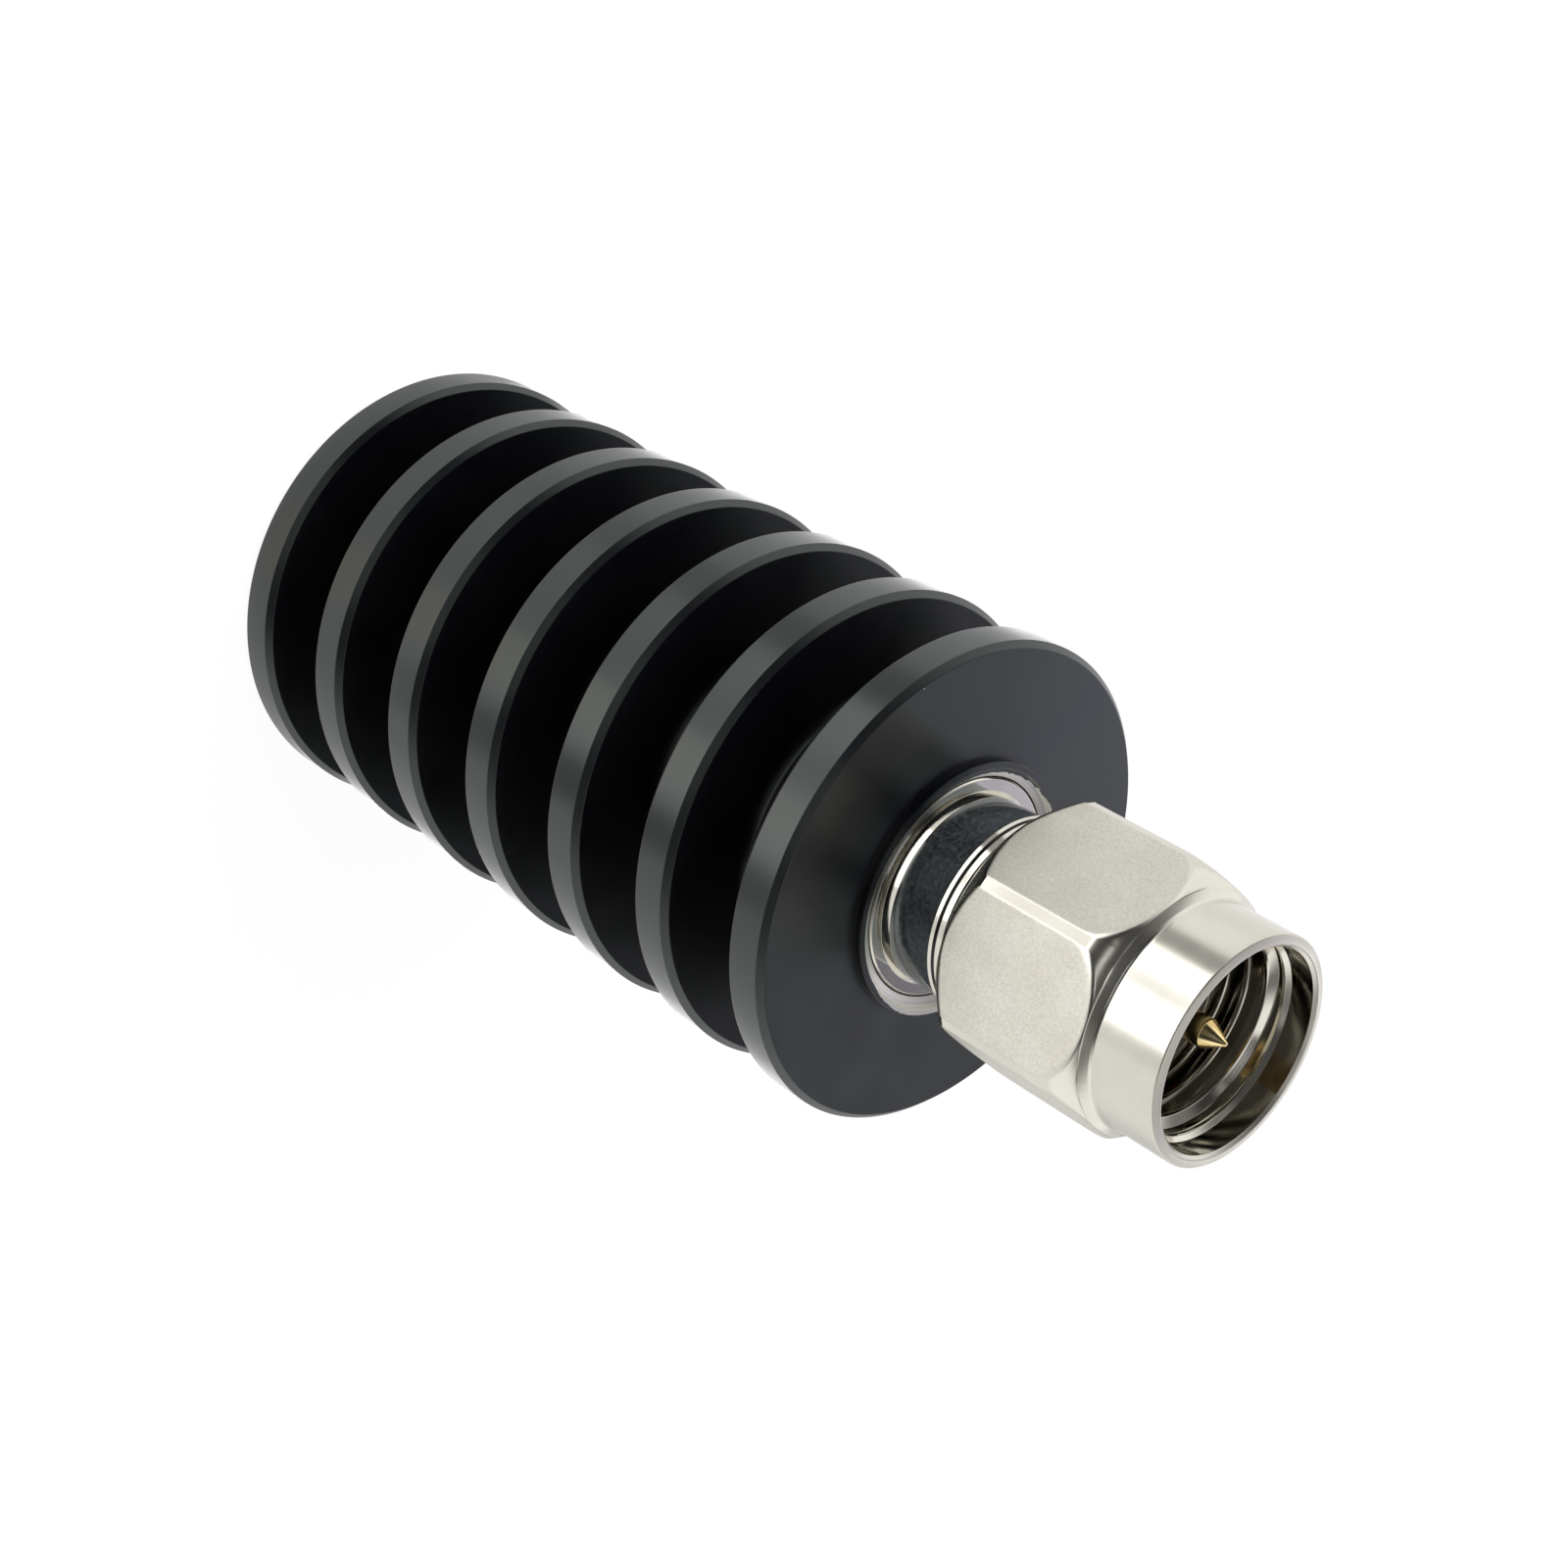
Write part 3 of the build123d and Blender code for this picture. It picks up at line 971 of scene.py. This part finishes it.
# A card that only reflections see, as a photographer's flags and panels are out of the picture.
# Its brightness is a number on each point of its grid.
def makeCard(name, grid, glow, tint=1.0):
    rows, columns = grid.shape[:2]
    index = np.arange(rows * columns).reshape(rows, columns)
    below, above = index[:-1], index[1:]
    quads = [below[:, :-1], below[:, 1:], above[:, 1:], above[:, :-1]]
    quads = np.stack(quads, 2).reshape(-1, 4)
    mesh = bpy.data.meshes.new(name)
    mesh.from_pydata(grid.reshape(-1, 3).tolist(), [], quads.tolist())
    colours = np.ones(glow.shape + (4,), np.float32)
    colours[..., :3] = glow[..., None] * tint
    mesh.attributes.new("glow", "FLOAT_COLOR", "POINT").data.foreach_set("color", colours.ravel())
    material = bpy.data.materials.new(name)
    material.use_nodes = True
    material.cycles.emission_sampling = "NONE"
    tree = material.node_tree
    tree.nodes.remove(tree.nodes["Principled BSDF"])
    emission = tree.nodes.new("ShaderNodeEmission")
    reader = tree.nodes.new("ShaderNodeAttribute")
    reader.attribute_name = "glow"
    tree.links.new(reader.outputs["Color"], emission.inputs["Color"])
    tree.links.new(emission.outputs[0], tree.nodes["Material Output"].inputs["Surface"])
    mesh.materials.append(material)
    card = bpy.data.objects.new(name, mesh)
    bpy.context.scene.collection.objects.link(card)
    card.visible_camera = False
    card.visible_diffuse = False
    card.visible_shadow = False


table = {
    "near": 8.3,  # mm from the axis
    "end": 800,
    "height": 0.2,
    "sheet": 0.8,
    "nutSheet": 1.5,
    "rightStrip": 0.7,
    "leftStrip": 0.3,
    "underFins": 0.12,
    "farSide": 0.25,
    "behind": 2.2,
    "closeBehind": 1.2,
    "leftLight": 0.4,
    "rightShade": 0.3,
    "warm": (0.08, 0.07, -0.08),
}


# The table round the object, as polished metal shows it: white, with a brighter sheet in front
# and two darker strips beside it. Turn is measured from the front, towards +X. The fins see
# what is nearer than 41 mm, the nut what is farther, and its nose what is beyond 47 mm.
def makeTableCard():
    s = table
    turns, reaches = np.linspace(-180, 180, 361), np.geomspace(s["near"], s["end"], 90)
    turn, far = np.meshgrid(turns, reaches)
    nut = ease(far, 40.8, 42)
    nose = ease(far, 46.5, 48)
    left = np.where(nut > 0.5, -16 - 28 * nut, 2)
    sheet = window(turn, left, 24 + 6 * nut, 5) * ease(far, 14, 30)
    nutSheet = s["nutSheet"] - nose - nose * window(turn, -16, -6, 6)
    glow = 1.0 + (s["sheet"] + nut * nutSheet) * sheet
    strips = ease(far, 12, 26)
    rightStrip = window(turn, 34 + 6 * nut, 48 + 2 * nut, 4) * strips
    leftStrip = window(turn, -66, -48, 4) * strips
    glow *= 1 - rightStrip * (s["rightStrip"] - 0.55 * nut)
    glow *= 1 - leftStrip * (s["leftStrip"] + 0.3 * nut)
    glow *= 1 - s["underFins"] * (1 - ease(far, 8.3, 12))
    # The rims' reflections of the far side: side is where on a rim the spot is seen.
    side = np.radians(np.abs(turn)) / 2
    for _ in range(40):
        bend = np.arcsin(np.clip(sink["finRadius"] * np.sin(side) / far, 0, 1))
        side = (np.radians(np.abs(turn)) + bend) / 2
    away = np.degrees(2 * side)
    behind = s["behind"] + s["closeBehind"] * (1 - ease(far, 10, 20))
    rims = s["farSide"] * ease(away, 112, 136) + behind * ease(away, 139, 152)
    glow *= 1 + (1 - nut) * rims
    sides = (s["leftLight"] - 0.32 * nose) * window(turn, -98, -74, 8)
    glow *= 1 + nut * (sides - s["rightShade"] * ease(turn, 110, 150))
    angle = np.radians(turn - 90)
    height = np.full(far.shape, s["height"])
    grid = np.stack([far * np.cos(angle), far * np.sin(angle), height], 2) * mm
    warm = ((1 - nut) * window(turn, 4, 18, 6))[..., None]
    makeCard("tableCard", grid, glow, 1 + warm * np.array(s["warm"]))


room = {
    "wallDrop": 0.77,
    "sideWalls": 0.2,
    "slope": 0.8,
    "faceDrop": 0.16,
    "lipLight": 0.5,
    "ceiling": (0.05, 1.1),
    "ceilingDrop": 0.85,
    "dark": (0.03, 0.05),
    "besideCamera": 1.1,
    "frontWindow": 2.0,
    "cold": (-0.02, -0.03, 0.16),
}


# The room above the table: dark round the camera, a low bright window in front, and a wall
# behind that darkens upwards and towards +X.
def makeRoomCard():
    s = room
    turn, tilt = np.meshgrid(np.linspace(-180, 180, 361), np.linspace(0, 90, 91))
    away = np.abs(turn)
    sideWalls = window(away, 80, 145, 10) * (1 - ease(tilt, 28, 42))
    wall = 1.0 - s["wallDrop"] * ease(tilt, 24, 46) + s["sideWalls"] * sideWalls
    slope = np.tanh(np.sin(np.radians(turn)) / 0.1) * ease(away, 160, 172) * ease(tilt, 22, 32)
    glow = wall * (1 - s["slope"] * slope)
    # The nut's lip sees this ring, and the heat sink's face what is inside it.
    ring = np.hypot((tilt - 39.5) / 25, (180 - away) / 19)
    glow *= 1 - s["faceDrop"] * (1 - ease(ring, 0.5, 0.9))
    glow += s["lipLight"] * window(ring, 0.9, 1.1, 0.2)
    side = np.sin(np.radians(turn)) * np.cos(np.radians(tilt))
    darkest, brighter = s["ceiling"]
    ceiling = darkest + brighter * ease(side, -0.35, 0.0)
    ceiling *= 1 - s["ceilingDrop"] * ease(tilt, 74, 79) * ease(away, 80, 105)
    glow += (ceiling - glow) * ease(tilt, 50, 64)
    dark = (1 - ease(away, 50, 77)) * ease(tilt, 6, 13) * (1 - ease(tilt, 66, 74))
    low, high = s["dark"]
    glow = glow * (1 - dark) + (low + high * ease(tilt, 30, 45)) * dark
    glow += s["besideCamera"] * window(turn, -20, 22, 9) * window(tilt, 37.5, 41.5, 2)
    cold = (ease(away, 150, 165) * window(tilt, 32, 46, 8))[..., None]
    glow += s["frontWindow"] * window(turn, -34, 26, 5) * (1 - ease(tilt, 5, 10))
    angle, height = np.radians(turn - 90), np.radians(tilt)
    flat = np.cos(height)
    grid = np.stack([np.cos(angle) * flat, np.sin(angle) * flat, np.sin(height)], 2)
    makeCard("roomCard", grid * studio["domeRadius"], glow, 1 + cold * np.array(s["cold"]))


lamp = {
    "start": (-120, -60, 260),
    "aim": (0, 0, 20),
    "size": (0.20, 0.20),  # metres
    "power": 0.5,
}


def makeLamp(name, start, aim, size, power):
    data = bpy.data.lights.new(name, "AREA")
    data.shape = "RECTANGLE"
    data.size, data.size_y = size
    data.energy = power
    made = bpy.data.objects.new(name, data)
    bpy.context.scene.collection.objects.link(made)
    start, aim = np.array(start, float) * mm, np.array(aim, float) * mm
    back = (start - aim) / np.linalg.norm(start - aim)
    side = np.cross([0, 0, 1], back)
    side = side / np.linalg.norm(side)
    turn = Matrix((side, np.cross(back, side), back)).transposed().to_4x4()
    turn.translation = start
    made.matrix_world = turn
    made.visible_camera = False
    made.visible_glossy = False


makeFloor()
makeWorld()
makeTableCard()
makeRoomCard()
makeLamp("topLamp", **lamp)
print("studio made")
